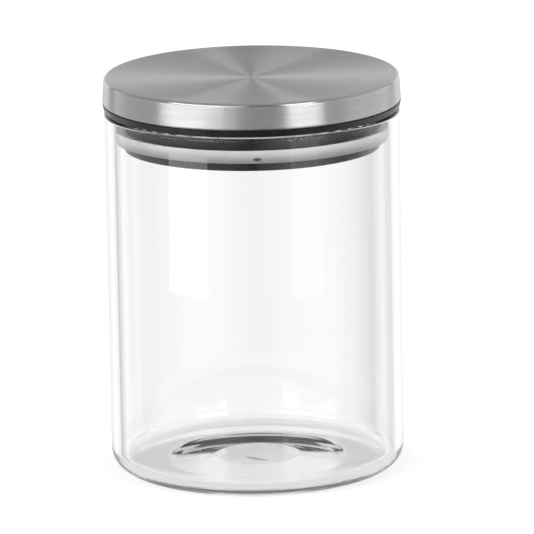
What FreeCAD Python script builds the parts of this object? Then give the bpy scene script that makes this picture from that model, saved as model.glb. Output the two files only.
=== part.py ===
import FreeCAD, Part
import math
import os

# Lidded glass canister: a straight glass jar closed by a plug lid with a steel cap.
# Millimetres, +Z up, origin on the table under the middle of the jar.

# Glass jar
JAR_DIAMETER = 98.7
JAR_HEIGHT = 122.4
JAR_WALL = 3.6
RIM_LAND = 1.8  # level crest of the polished rim, rounded on both sides
HEEL_RADIUS = 6.2  # outer corner between wall and foot
FLOOR_CORNER_RADIUS = 5.2  # inner corner between wall and floor
FLOOR_HEIGHT = 3.5  # inner floor above the table, beside its corner
PUNT_HEIGHT = 2.05  # rise of the underside in its middle
PUNT_TOP_RADIUS = 14.6
PUNT_TOP_ROUND = 12.0
PUNT_FOOT_RADIUS = 31.2  # inner edge of the ring that the jar stands on
PUNT_FOOT_ROUND = 18.0
SWELL_HEIGHT = 0.3  # rise of the inner floor in its middle
SWELL_TOP_RADIUS = 10.0
SWELL_FOOT_RADIUS = 36.0
SWELL_ROUND = 50.0

# Steel cap
CAP_OVERHANG = 0.65  # foot of the skirt outside the jar
CAP_HEIGHT = 8.9
CAP_THICKNESS = 0.6
CAP_LEAN = 0.6  # radius lost from the foot of the skirt to its top
CAP_CORNER_RADIUS = 1.3
CAP_RIM_FLAT = 0.6  # level crest round the dish
DISH_BAND_WIDTH = 7.5  # sloping band between crest and dish floor
DISH_BAND_DROP = 0.65  # fall across that band
DISH_FLOOR_SAG = 0.45  # further fall from the edge of the dish floor to its middle
HEM_WIDTH = 1.8  # lower edge rolled in under the core's shoulder
HEM_RADIUS = 0.9

# Moulded core with its flange and plug
FLANGE_THICKNESS = 2.2
FLANGE_INSET = 0.15  # top of the flange inside the skirt's outer face
FLANGE_TAPER = 0.4
FLANGE_ROUND = 0.5
PLUG_DEPTH = 11.9  # plug below the rim of the jar
PLUG_GAP = 2.9  # bore of the jar to the plug wall, taken up by the seal
PLUG_ROUND = 0.5
GROOVE_HEIGHT = 3.8
GROOVE_DEPTH = 2.2
GROOVE_LAND = 3.0  # plug wall below the groove
CORE_WALL = 2.0
CORE_CREST_GAP = 0.1  # lining of the skirt below the crest of the cap
CHANNEL_ROUND = 0.8  # corners of the channel between lining and plug
WEB_THICKNESS = 2.2
RIB_COUNT = 8
RIB_THICKNESS = 1.4
RIB_DEPTH = 9.0
HUB_RADIUS = 6.0

# Disc that closes the plug
BASE_THICKNESS = 1.8
BASE_LEDGE = 0.8  # step in the core that the disc stops against
BASE_RECESS_DEPTH = 0.6
BASE_RECESS_MARGIN = 4.0
SNAP_HEIGHT = 0.8
SNAP_PROUD = 0.3

# Adhesive pad under the cap
PAD_POCKET_WALL = 2.6  # core outside the pocket that holds the pad
PAD_THICKNESS = 0.8  # at its middle

# Silicone seal
SEAL_LIP_RISE = 0.7  # lip above the part that sits in the groove
SEAL_LIP_LEAN = 0.12  # radius that the face loses towards its lip
SEAL_FOOT_LEAN = 0.55  # radius that it loses towards its foot

# Fits
SEAT_GAP = 0.5  # flange above the rim, while the seal holds the lid
SEAL_GAP = 0.1  # face of the seal inside the bore
GROOVE_GAP = 0.06  # ring in its groove, all round
FIT_GAP = 0.05  # pieces of the lid that are bonded, rolled or snapped together

# Heights
Z_SEAT = JAR_HEIGHT + SEAT_GAP
Z_FLANGE_TOP = Z_SEAT + FLANGE_THICKNESS
Z_CAP_FOOT = Z_FLANGE_TOP + FIT_GAP
Z_CAP_TOP = Z_CAP_FOOT + CAP_HEIGHT
Z_DISH_EDGE = Z_CAP_TOP - DISH_BAND_DROP
Z_DISH_MIDDLE = Z_DISH_EDGE - DISH_FLOOR_SAG
Z_PLUG_FOOT = JAR_HEIGHT - PLUG_DEPTH
Z_GROOVE_FOOT = Z_PLUG_FOOT + GROOVE_LAND
Z_GROOVE_TOP = Z_GROOVE_FOOT + GROOVE_HEIGHT
Z_LEDGE = Z_PLUG_FOOT + BASE_THICKNESS + FIT_GAP
Z_PAD_TOP = Z_DISH_MIDDLE - CAP_THICKNESS - FIT_GAP
Z_PAD_FOOT = Z_PAD_TOP - PAD_THICKNESS
Z_POCKET = Z_PAD_FOOT - FIT_GAP
Z_WEB_UNDERSIDE = Z_POCKET - WEB_THICKNESS

# Radii
JAR_R = JAR_DIAMETER / 2
BORE_R = JAR_R - JAR_WALL
RIM_ROUND = (JAR_WALL - RIM_LAND) / 2
CAP_FOOT_R = JAR_R + CAP_OVERHANG
CAP_TOP_R = CAP_FOOT_R - CAP_LEAN
CREST_INNER_R = CAP_TOP_R - CAP_CORNER_RADIUS - CAP_RIM_FLAT
DISH_FLOOR_R = CREST_INNER_R - DISH_BAND_WIDTH
FLANGE_R = CAP_FOOT_R - FLANGE_INSET
PLUG_R = BORE_R - PLUG_GAP
GROOVE_R = PLUG_R - GROOVE_DEPTH
CORE_BORE_R = GROOVE_R - CORE_WALL
LEDGE_R = CORE_BORE_R + BASE_LEDGE
BASE_R = LEDGE_R - FIT_GAP
POCKET_R = GROOVE_R - PAD_POCKET_WALL
PAD_R = POCKET_R - FIT_GAP
DISH_SPHERE_R = (DISH_FLOOR_R ** 2 + DISH_FLOOR_SAG ** 2) / (2 * DISH_FLOOR_SAG)


def point(r, z):
    """A point of a profile, in the XZ plane."""
    return FreeCAD.Vector(r, 0, z)


def rounded(before, here, after, radius):
    """Start, middle and end of the arc that rounds the corner here between two neighbours."""
    back = (before - here).normalize()
    on = (after - here).normalize()
    half_angle = back.getAngle(on) / 2
    reach = radius / math.tan(half_angle)
    inset = radius / math.sin(half_angle) - radius
    return here + back * reach, here + (back + on).normalize() * inset, here + on * reach


def profile(*corners):
    """Closed wire through (r, z) corners.

    A third number rounds its corner by that radius. A corner given as ("via", r, z)
    bows the edge between its two plain neighbours through that point.
    """
    count = len(corners)
    spots = [point(*corner[1:]) if corner[0] == "via" else point(*corner[:2]) for corner in corners]
    arcs = {}
    for i, corner in enumerate(corners):
        if corner[0] != "via" and len(corner) == 3:
            arcs[i] = rounded(spots[i - 1], spots[i], spots[(i + 1) % count], corner[2])
    edges = []
    for i, corner in enumerate(corners):
        if corner[0] == "via":
            continue
        following = (i + 1) % count
        leave = spots[i]
        if i in arcs:
            edges.append(Part.Arc(*arcs[i]).toShape())
            leave = arcs[i][-1]
        if corners[following][0] == "via":
            edges.append(Part.Arc(leave, spots[following], spots[(i + 2) % count]).toShape())
        else:
            arrive = arcs[following][0] if following in arcs else spots[following]
            edges.append(Part.LineSegment(leave, arrive).toShape())
    return Part.Wire(edges)


def turned(*corners):
    """Solid of revolution of a profile about the axis of the jar."""
    face = Part.Face(profile(*corners))
    return face.revolve(FreeCAD.Vector(0, 0, 0), FreeCAD.Vector(0, 0, 1), 360)


def skirt_radius(z):
    """Outer radius of the cap's leaning skirt at a height."""
    return CAP_FOOT_R - CAP_LEAN * (z - Z_CAP_FOOT) / CAP_HEIGHT


def dish_height(r, depth):
    """Height of the dish floor at a radius, or of the sphere that lies depth below it."""
    return Z_DISH_MIDDLE + DISH_SPHERE_R - math.sqrt((DISH_SPHERE_R + depth) ** 2 - r ** 2)


def glass_jar():
    """Straight jar: pushed-up base, rounded heel, polished rim and a floor with a low swell."""
    floor_middle = FLOOR_HEIGHT + SWELL_HEIGHT
    return turned(
        (0, PUNT_HEIGHT),
        (PUNT_TOP_RADIUS, PUNT_HEIGHT, PUNT_TOP_ROUND),
        (PUNT_FOOT_RADIUS, 0, PUNT_FOOT_ROUND),
        (JAR_R, 0, HEEL_RADIUS),
        (JAR_R, JAR_HEIGHT, RIM_ROUND),
        (BORE_R, JAR_HEIGHT, RIM_ROUND),
        (BORE_R, FLOOR_HEIGHT, FLOOR_CORNER_RADIUS),
        (SWELL_FOOT_RADIUS, FLOOR_HEIGHT, SWELL_ROUND),
        (SWELL_TOP_RADIUS, floor_middle, SWELL_ROUND),
        (0, floor_middle),
    )


def steel_cap():
    """Drawn cap: dished top, rounded corner, leaning skirt and a rolled-in hem."""
    half_dish = DISH_FLOOR_R / 2
    hem_r = CAP_FOOT_R - HEM_WIDTH
    z_hem_top = Z_CAP_FOOT + CAP_THICKNESS
    return turned(
        (0, Z_DISH_MIDDLE),
        ("via", half_dish, dish_height(half_dish, 0)),
        (DISH_FLOOR_R, Z_DISH_EDGE),
        (CREST_INNER_R, Z_CAP_TOP),
        (CAP_TOP_R, Z_CAP_TOP, CAP_CORNER_RADIUS),
        (CAP_FOOT_R, Z_CAP_FOOT, HEM_RADIUS),
        (hem_r, Z_CAP_FOOT),
        (hem_r, z_hem_top),
        (skirt_radius(z_hem_top) - CAP_THICKNESS, z_hem_top),
        (CAP_TOP_R - CAP_THICKNESS, Z_CAP_TOP - CAP_THICKNESS, CAP_CORNER_RADIUS - CAP_THICKNESS),
        (CREST_INNER_R, Z_CAP_TOP - CAP_THICKNESS),
        (DISH_FLOOR_R, dish_height(DISH_FLOOR_R, CAP_THICKNESS)),
        ("via", half_dish, dish_height(half_dish, CAP_THICKNESS)),
        (0, Z_DISH_MIDDLE - CAP_THICKNESS),
    )


def lid_core():
    """Moulded core: shoulder inside the cap, flange, grooved plug wall and a ribbed hollow."""
    inset = CAP_THICKNESS + FIT_GAP
    z_shoulder = Z_CAP_FOOT + inset
    z_lining = Z_CAP_TOP - inset - CORE_CREST_GAP
    z_seat_ring = dish_height(POCKET_R, inset)
    z_snap = Z_PLUG_FOOT + BASE_THICKNESS / 2
    slot_r = CAP_FOOT_R - HEM_WIDTH - FIT_GAP
    lining_r = CAP_TOP_R - inset
    body = turned(
        (0, Z_WEB_UNDERSIDE),
        (CORE_BORE_R, Z_WEB_UNDERSIDE),
        (CORE_BORE_R, Z_LEDGE),
        (LEDGE_R, Z_LEDGE),
        (LEDGE_R, z_snap + SNAP_HEIGHT / 2),
        ("via", LEDGE_R + SNAP_PROUD, z_snap),
        (LEDGE_R, z_snap - SNAP_HEIGHT / 2),
        (LEDGE_R, Z_PLUG_FOOT),
        (PLUG_R, Z_PLUG_FOOT, PLUG_ROUND),
        (PLUG_R, Z_GROOVE_FOOT),
        (GROOVE_R, Z_GROOVE_FOOT),
        (GROOVE_R, Z_GROOVE_TOP),
        (PLUG_R, Z_GROOVE_TOP),
        (PLUG_R, Z_SEAT, PLUG_ROUND),
        (FLANGE_R - FLANGE_TAPER, Z_SEAT, FLANGE_ROUND),
        (FLANGE_R, Z_FLANGE_TOP),
        (slot_r, Z_FLANGE_TOP),
        (slot_r, z_shoulder),
        (skirt_radius(z_shoulder) - inset, z_shoulder),
        (lining_r, z_lining, CAP_CORNER_RADIUS),
        (lining_r - CORE_WALL, z_lining),
        (lining_r - CORE_WALL, z_shoulder, CHANNEL_ROUND),
        (GROOVE_R, z_shoulder, CHANNEL_ROUND),
        (GROOVE_R, z_seat_ring),
        (POCKET_R, z_seat_ring),
        (POCKET_R, Z_POCKET),
        (0, Z_POCKET),
    )
    hub_height = Z_WEB_UNDERSIDE - Z_LEDGE
    up = FreeCAD.Vector(0, 0, 1)
    hub = Part.makeCylinder(HUB_RADIUS, hub_height, FreeCAD.Vector(0, 0, Z_LEDGE))
    rib_length = CORE_BORE_R + CORE_WALL / 2
    rib_corner = FreeCAD.Vector(0, -RIB_THICKNESS / 2, Z_WEB_UNDERSIDE - RIB_DEPTH)
    ribs = []
    for i in range(RIB_COUNT):
        rib = Part.makeBox(rib_length, RIB_THICKNESS, RIB_DEPTH + WEB_THICKNESS / 2, rib_corner)
        ribs.append(rib.rotate(FreeCAD.Vector(0, 0, 0), up, i * 360 / RIB_COUNT))
    return body.fuse([hub] + ribs).removeSplitter()


def plug_base():
    """Disc that closes the plug, with a snap bead round its edge and a shallow recess below."""
    z_snap = Z_PLUG_FOOT + BASE_THICKNESS / 2
    recess_r = BASE_R - BASE_RECESS_MARGIN
    z_top = Z_PLUG_FOOT + BASE_THICKNESS
    return turned(
        (0, Z_PLUG_FOOT + BASE_RECESS_DEPTH),
        (recess_r, Z_PLUG_FOOT + BASE_RECESS_DEPTH),
        (recess_r + BASE_RECESS_DEPTH, Z_PLUG_FOOT),
        (BASE_R, Z_PLUG_FOOT),
        (BASE_R, z_snap - SNAP_HEIGHT / 2 + FIT_GAP),
        ("via", BASE_R + SNAP_PROUD, z_snap),
        (BASE_R, z_snap + SNAP_HEIGHT / 2 - FIT_GAP),
        (BASE_R, z_top),
        (0, z_top),
    )


def bond_pad():
    """Adhesive pad between the core's pocket and the underside of the dish."""
    depth = CAP_THICKNESS + FIT_GAP
    return turned(
        (0, Z_PAD_FOOT),
        (PAD_R, Z_PAD_FOOT),
        (PAD_R, dish_height(PAD_R, depth)),
        ("via", PAD_R / 2, dish_height(PAD_R / 2, depth)),
        (0, Z_PAD_TOP),
    )


def seal_ring():
    """Ring that fills the groove, with a bowed face against the bore and a lip at its top."""
    inner_r = GROOVE_R + GROOVE_GAP
    face_r = BORE_R - SEAL_GAP
    z_foot = Z_GROOVE_FOOT + GROOVE_GAP
    z_body = Z_GROOVE_TOP - GROOVE_GAP
    z_lip = z_body + SEAL_LIP_RISE
    bow_share = math.sqrt(SEAL_FOOT_LEAN) / (math.sqrt(SEAL_FOOT_LEAN) + math.sqrt(SEAL_LIP_LEAN))
    return turned(
        (inner_r, z_foot),
        (face_r - SEAL_FOOT_LEAN, z_foot),
        ("via", face_r, z_foot + bow_share * (z_lip - z_foot)),
        (face_r - SEAL_LIP_LEAN, z_lip),
        (PLUG_R, z_body),
        (inner_r, z_body),
    )


PIECES = [glass_jar, steel_cap, lid_core, plug_base, bond_pad, seal_ring]

os.makedirs("parts", exist_ok=True)
for make in PIECES:
    shape = make()
    shape.exportStep(f"parts/{make.__name__}.step")
    print(make.__name__, round(shape.Volume), "mm3, valid" if shape.isValid() else "mm3, NOT VALID")
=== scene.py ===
"""Looks of a lidded glass canister: a straight glass jar closed by a plug lid with a steel cap.

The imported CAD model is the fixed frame, in metres, +Z up, with the origin on the table under the jar.
Each piece is turned from an outline by a node tree and stands in for one CAD node.
"""

import logging
import math
from dataclasses import dataclass, field
from enum import Enum
from typing import Any, Sequence

import bmesh
import bpy
from mathutils import Matrix, Vector


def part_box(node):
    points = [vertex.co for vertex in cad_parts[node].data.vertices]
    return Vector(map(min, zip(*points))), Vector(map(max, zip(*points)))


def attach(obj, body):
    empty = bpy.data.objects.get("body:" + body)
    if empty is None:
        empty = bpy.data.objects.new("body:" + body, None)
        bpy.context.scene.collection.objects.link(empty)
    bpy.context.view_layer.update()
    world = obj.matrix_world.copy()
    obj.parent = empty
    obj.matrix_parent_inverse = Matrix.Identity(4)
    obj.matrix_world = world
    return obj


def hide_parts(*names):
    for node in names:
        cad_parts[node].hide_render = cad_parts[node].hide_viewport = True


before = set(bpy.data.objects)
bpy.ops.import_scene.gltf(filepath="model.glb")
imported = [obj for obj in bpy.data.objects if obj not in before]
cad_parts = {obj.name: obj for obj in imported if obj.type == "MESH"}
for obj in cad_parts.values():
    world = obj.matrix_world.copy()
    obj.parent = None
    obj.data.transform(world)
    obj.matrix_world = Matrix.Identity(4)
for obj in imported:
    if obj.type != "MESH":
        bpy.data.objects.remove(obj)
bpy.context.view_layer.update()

MM = 0.001
Node = bpy.types.Node
Socket = bpy.types.NodeSocket
Colour = tuple[float, float, float]
Span = tuple[float, float]
Levels = tuple[Span, ...]
log = logging.getLogger("canister")


class Body(Enum):
    """Bodies that move by themselves."""

    JAR = "jar"
    SEAL = "seal"
    LID = "lid"


class Slot(Enum):
    """Material slots."""

    GLASS = "clear_glass"
    STEEL = "brushed_cap"
    MOULDING = "black_moulding"
    PAD = "adhesive_pad"
    SILICONE = "silicone"


class Wiring:
    """Adds nodes to one tree and wires them up.

    A Mix node's sockets for colours share their names with those for plain values, so they go by number.
    """

    MIX_FIRST = 6
    MIX_SECOND = 7
    MIX_RESULT = 2

    def __init__(self, tree: bpy.types.NodeTree) -> None:
        """Takes the tree to work on.

        Args:
            tree: Shader or geometry node tree.
        """
        self.tree = tree

    def add(self, kind: str, feeds: dict[Any, Any] | None = None, **settings: Any) -> Node:
        """Adds a node.

        Args:
            kind: Type name of the node.
            feeds: What goes into it, as for fill().
            settings: Properties of the node itself.

        Returns:
            The new node.
        """
        node = self.tree.nodes.new(kind)
        for name, value in settings.items():
            setattr(node, name, value)
        self.fill(node, feeds or {})
        return node

    def fill(self, node: Node, feeds: dict[Any, Any]) -> None:
        """Fills inputs of a node.

        Args:
            node: The node.
            feeds: Inputs by name or number, with a socket to link or a plain value.
        """
        for key, value in feeds.items():
            if isinstance(value, Socket):
                self.tree.links.new(value, node.inputs[key])
            else:
                node.inputs[key].default_value = value

    def sums(self, operation: str, *terms: Any, clamp: bool = False) -> Socket:
        """Adds a Math node.

        Args:
            operation: Its operation.
            terms: Sockets or numbers, in order.
            clamp: Whether the result is kept between 0 and 1.

        Returns:
            The result.
        """
        feeds = dict(enumerate(terms))
        return self.add("ShaderNodeMath", feeds, operation=operation, use_clamp=clamp).outputs[0]

    def times(self, first: Any, second: Any) -> Socket:
        """Product of two sockets or numbers."""
        return self.sums("MULTIPLY", first, second)

    def inverse(self, value: Socket) -> Socket:
        """What a value leaves of 1."""
        return self.sums("SUBTRACT", 1.0, value)

    def length(self, x: Socket, y: Socket) -> Socket:
        """Length of a level vector."""
        return self.sums("SQRT", self.sums("ADD", self.times(x, x), self.times(y, y)))

    def ramp(self, value: Any, span: Span, low: Any, high: Any) -> Socket:
        """Maps a value smoothly from one range to another.

        Args:
            value: Socket to map.
            span: Its range.
            low: Result at the start of the range.
            high: Result at its end.

        Returns:
            The mapped value.
        """
        feeds = {"Value": value, "From Min": span[0], "From Max": span[1], "To Min": low, "To Max": high}
        return self.add("ShaderNodeMapRange", feeds, interpolation_type="SMOOTHSTEP").outputs[0]

    def mix(self, factor: Socket, first: Any, second: Any) -> Socket:
        """Mixes two values, from the first at a factor of 0 to the second at 1."""
        return self.ramp(factor, (0.0, 1.0), first, second)

    def blend(self, factor: Socket, first: Any, second: Any) -> Socket:
        """Mixes two colours, from the first at a factor of 0 to the second at 1."""
        feeds = {"Factor": factor, self.MIX_FIRST: first, self.MIX_SECOND: second}
        return self.add("ShaderNodeMix", feeds, data_type="RGBA").outputs[self.MIX_RESULT]

    def stops(self, value: Socket, levels: Levels) -> Socket:
        """Maps a value from 0 to 1 through a ramp of greys.

        Args:
            value: Socket to map.
            levels: Places along the ramp, each with its grey.

        Returns:
            The grey.
        """
        node = self.add("ShaderNodeValToRGB", {"Fac": value})
        ramp = node.color_ramp
        while len(ramp.elements) < len(levels):
            ramp.elements.new(0.5)
        for element, (place, level) in zip(ramp.elements, levels):
            element.position = place
            element.color = rgba((level, level, level))
        return node.outputs["Color"]

    def grey(self, level: Socket) -> Socket:
        """Colour that is as bright as a level."""
        return self.add("ShaderNodeCombineColor", dict.fromkeys(range(3), level)).outputs[0]

    def parts(self, vector: Socket) -> Any:
        """X, Y and Z of a vector."""
        return self.add("ShaderNodeSeparateXYZ", {0: vector}).outputs

    def vector(self, x: Any = 0.0, y: Any = 0.0, z: Any = 0.0) -> Socket:
        """A vector from its X, Y and Z."""
        return self.add("ShaderNodeCombineXYZ", {"X": x, "Y": y, "Z": z}).outputs[0]

    def place(self) -> Any:
        """X, Y and Z in the frame of the object that is shaded."""
        return self.parts(self.add("ShaderNodeTexCoord").outputs["Object"])

    def group(self, tree: bpy.types.NodeTree, **feeds: Any) -> Any:
        """Adds a shader node group and gives its outputs."""
        return self.add("ShaderNodeGroup", feeds, node_tree=tree).outputs

    def bump(self, height: Socket, depth: float) -> Socket:
        """Normals of a surface with a relief of some depth."""
        return self.add("ShaderNodeBump", {"Strength": 1.0, "Distance": depth, "Height": height}).outputs[0]


def rgba(colour: Sequence[float]) -> tuple[float, ...]:
    """A colour with full opacity."""
    return (*colour, 1.0)


def linked(name: str, data: bpy.types.ID) -> bpy.types.Object:
    """Puts a new object into the scene.

    Args:
        name: Its name.
        data: Its mesh, lamp or camera.

    Returns:
        The object.
    """
    made = bpy.data.objects.new(name, data)
    bpy.context.scene.collection.objects.link(made)
    return made


def new_material(name: str) -> tuple[bpy.types.Material, Wiring, Node]:
    """A new material, its wiring and its Principled node."""
    material = bpy.data.materials.new(name)
    material.use_nodes = True
    return material, Wiring(material.node_tree), material.node_tree.nodes["Principled BSDF"]


def around_axis(degrees: float, distance: float, height: float) -> Vector:
    """A place round the jar.

    Args:
        degrees: Turn from the camera's side to the right.
        distance: Distance from the axis.
        height: Height above the table.

    Returns:
        The place.
    """
    turn = math.radians(degrees)
    return Vector((distance * math.sin(turn), -distance * math.cos(turn), height))


def half_bow(sag: float) -> float:
    """Rise of half a shallow arc off its chord, a quarter of the whole arc's sag."""
    return sag / 4


@dataclass(frozen=True)
class Corner:
    """Corner of an outline.

    Attributes:
        r: Distance from the axis.
        z: Height above the table.
        radius: Radius that rounds the corner, zero where it is sharp.
        bow: Rise of the run to the next corner, to the left of the way there, zero where it is straight.
    """

    r: float
    z: float
    radius: float = 0.0
    bow: float = 0.0


@dataclass(frozen=True)
class Outline:
    """Half section of a turned piece.

    Attributes:
        corners: Its corners in order.
        ring: Whether it closes on itself, clear of the axis.
        arc_step: Largest turn between two points of an arc.
        arc_steps: Fewest steps of an arc.
        support: Distance of the extra point beside each end of a straight run.
        short: Length below which a straight run has no extra points.
        spacing: Largest distance between points of a run.
    """

    corners: tuple[Corner, ...]
    ring: bool = False
    arc_step: float = math.radians(4)
    arc_steps: int = 6
    support: float = 0.25 * MM
    short: float = 1.0 * MM
    spacing: float = 5 * MM

    def points(self) -> list[Vector]:
        """Points along the outline, as (r, z), the first one again at the end of a ring."""
        count = len(self.corners)
        turns = [self.turn(index) for index in range(count)]
        found: list[Vector] = []
        for index in range(count if self.ring else count - 1):
            following = turns[(index + 1) % count]
            found += turns[index]
            found += self.run(turns[index][-1], following[0], self.corners[index].bow)
        return found + (turns[0][:1] if self.ring else turns[-1])

    def spot(self, index: int) -> Vector:
        """Place of a corner, counted round the outline."""
        corner = self.corners[index % len(self.corners)]
        return Vector((corner.r, corner.z))

    def turn(self, index: int) -> list[Vector]:
        """Points of the arc that rounds a corner.

        Args:
            index: Number of the corner.

        Returns:
            The points, or the corner itself where it is sharp.
        """
        here = self.spot(index)
        radius = self.corners[index].radius
        if not radius:
            return [here]
        back = (self.spot(index - 1) - here).normalized()
        on = (self.spot(index + 1) - here).normalized()
        half = back.angle(on) / 2
        centre = here + (back + on).normalized() * (radius / math.sin(half))
        start = here + back * (radius / math.tan(half)) - centre
        sweep = math.copysign(math.pi - 2 * half, back.cross(on) * -1)
        steps = max(self.arc_steps, math.ceil(abs(sweep) / self.arc_step))
        return [centre + Matrix.Rotation(sweep * step / steps, 2) @ start for step in range(steps + 1)]

    def run(self, leave: Vector, arrive: Vector, bow: float) -> list[Vector]:
        """Points between two corners.

        Args:
            leave: End of the first corner.
            arrive: Start of the next corner.
            bow: Rise of the run.

        Returns:
            The points, without the two ends.
        """
        chord = arrive - leave
        length = chord.length
        ahead = chord.normalized()
        if bow:
            aside = Vector((-ahead.y, ahead.x))
            middle = (leave + arrive) / 2
            half = 2 * math.atan(2 * abs(bow) / length)
            radius = length / 2 / math.sin(half)
            steps = max(math.ceil(2 * half / self.arc_step), math.ceil(length / self.spacing))
            angles = [half * (2 * step / steps - 1) for step in range(1, steps)]
            return [
                middle + ahead * radius * math.sin(angle)
                + aside * math.copysign(radius * (math.cos(angle) - math.cos(half)), bow)
                for angle in angles
            ]
        if length < self.short:
            return []
        inner = length - 2 * self.support
        steps = math.ceil(inner / self.spacing)
        return [leave + ahead * (self.support + inner * step / steps) for step in range(steps + 1)]


class GeometryTree:
    """A geometry node tree with named inputs, and the objects that it makes."""

    def __init__(self, name: str, inputs: dict[str, str]) -> None:
        """Starts the tree.

        Args:
            name: Name of the tree.
            inputs: Named inputs beside the geometry and the material, with their socket types.
        """
        self.tree = bpy.data.node_groups.new(name, "GeometryNodeTree")
        self.wiring = Wiring(self.tree)
        face = self.tree.interface
        face.new_socket(name="Geometry", in_out="INPUT", socket_type="NodeSocketGeometry")
        self.sockets = {
            key: face.new_socket(name=key, in_out="INPUT", socket_type=kind).identifier
            for key, kind in {**inputs, "Material": "NodeSocketMaterial"}.items()
        }
        face.new_socket(name="Geometry", in_out="OUTPUT", socket_type="NodeSocketGeometry")
        self.given = self.wiring.add("NodeGroupInput").outputs

    def close(self, geometry: Socket) -> None:
        """Ends the tree: instances made real, then the material."""
        real = self.wiring.add("GeometryNodeRealizeInstances", {"Geometry": geometry}).outputs[0]
        feeds = {"Geometry": real, "Material": self.given["Material"]}
        dressed = self.wiring.add("GeometryNodeSetMaterial", feeds)
        self.wiring.add("NodeGroupOutput", {"Geometry": dressed.outputs[0]})

    def creased(self, geometry: Socket) -> Socket:
        """Shades a mesh smooth, apart from edges that bend more than the input named Crease."""
        w = self.wiring
        feeds = {"Geometry": geometry, "Shade Smooth": True}
        smooth = w.add("GeometryNodeSetShadeSmooth", feeds).outputs[0]
        bend = w.add("GeometryNodeInputMeshEdgeAngle").outputs["Unsigned Angle"]
        sharp = w.add("FunctionNodeCompare", {0: bend, 1: self.given["Crease"]}, operation="GREATER_THAN")
        feeds = {"Geometry": smooth, "Selection": sharp.outputs[0], "Shade Smooth": False}
        return w.add("GeometryNodeSetShadeSmooth", feeds, domain="EDGE").outputs[0]

    def shape(self, piece: bpy.types.Object, values: dict[str, Any]) -> None:
        """Runs the tree on an object and keeps the result as its plain mesh.

        Args:
            piece: Object whose mesh goes in.
            values: Named inputs.
        """
        modifier = piece.modifiers.new(self.tree.name, "NODES")
        modifier.node_group = self.tree
        for key, value in values.items():
            modifier[self.sockets[key]] = value
        graph = bpy.context.evaluated_depsgraph_get()
        mesh = bpy.data.meshes.new_from_object(piece.evaluated_get(graph))
        piece.modifiers.remove(modifier)
        raw = piece.data
        piece.data = mesh
        bpy.data.meshes.remove(raw)
        mesh.name = piece.name
        while None in list(mesh.materials):
            mesh.materials.pop(index=list(mesh.materials).index(None))


class TurningTree(GeometryTree):
    """Turns an outline about the axis of the jar."""

    MERGE = 0.001 * MM
    CREASE = math.radians(28)

    def __init__(self) -> None:
        """Builds the tree: a grid bent round the axis along the outline's points."""
        super().__init__("turned_piece", {"Segments": "NodeSocketInt", "Crease": "NodeSocketFloat"})
        w = self.wiring
        outline = self.given["Geometry"]
        count = w.add("GeometryNodeAttributeDomainSize", {"Geometry": outline}).outputs["Point Count"]
        rows = w.sums("ADD", self.given["Segments"], 1)
        grid = w.add("GeometryNodeMeshGrid", {"Vertices X": rows, "Vertices Y": count}).outputs["Mesh"]
        index = w.add("GeometryNodeInputIndex").outputs[0]
        row = w.add("FunctionNodeIntegerMath", {0: index, 1: count}, operation="DIVIDE_FLOOR").outputs[0]
        place = w.add("FunctionNodeIntegerMath", {0: index, 1: count}, operation="MODULO").outputs[0]
        spot = w.add("GeometryNodeInputPosition").outputs[0]
        feeds = {"Geometry": outline, "Value": spot, "Index": place}
        sample = w.add("GeometryNodeSampleIndex", feeds, data_type="FLOAT_VECTOR").outputs["Value"]
        half_section = w.parts(sample)
        radius = half_section["X"]
        angle = w.times(w.sums("DIVIDE", row, self.given["Segments"]), math.tau)
        x = w.times(radius, w.sums("COSINE", angle))
        y = w.times(radius, w.sums("SINE", angle))
        feeds = {"Geometry": grid, "Position": w.vector(x, y, half_section["Z"])}
        bent = w.add("GeometryNodeSetPosition", feeds).outputs[0]
        closed = w.add("GeometryNodeMergeByDistance", {"Geometry": bent, "Distance": self.MERGE}).outputs[0]
        self.close(self.creased(closed))

    def piece(
        self, name: str, outline: Outline, material: bpy.types.Material, segments: int,
    ) -> bpy.types.Object:
        """Turns one piece.

        Args:
            name: Name of the piece.
            outline: Its half section.
            material: Its finish.
            segments: Flats round the axis.

        Returns:
            The piece, closed, with its normals outward.
        """
        points = outline.points()
        mesh = bpy.data.meshes.new(name)
        edges = [(index, index + 1) for index in range(len(points) - 1)]
        mesh.from_pydata([(point.x, 0, point.y) for point in points], edges, [])
        made = linked(name, mesh)
        self.shape(made, {"Segments": segments, "Crease": self.CREASE, "Material": material})
        shell = bmesh.new()
        shell.from_mesh(made.data)
        bmesh.ops.recalc_face_normals(shell, faces=shell.faces)
        shell.to_mesh(made.data)
        shell.free()
        return made


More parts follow.
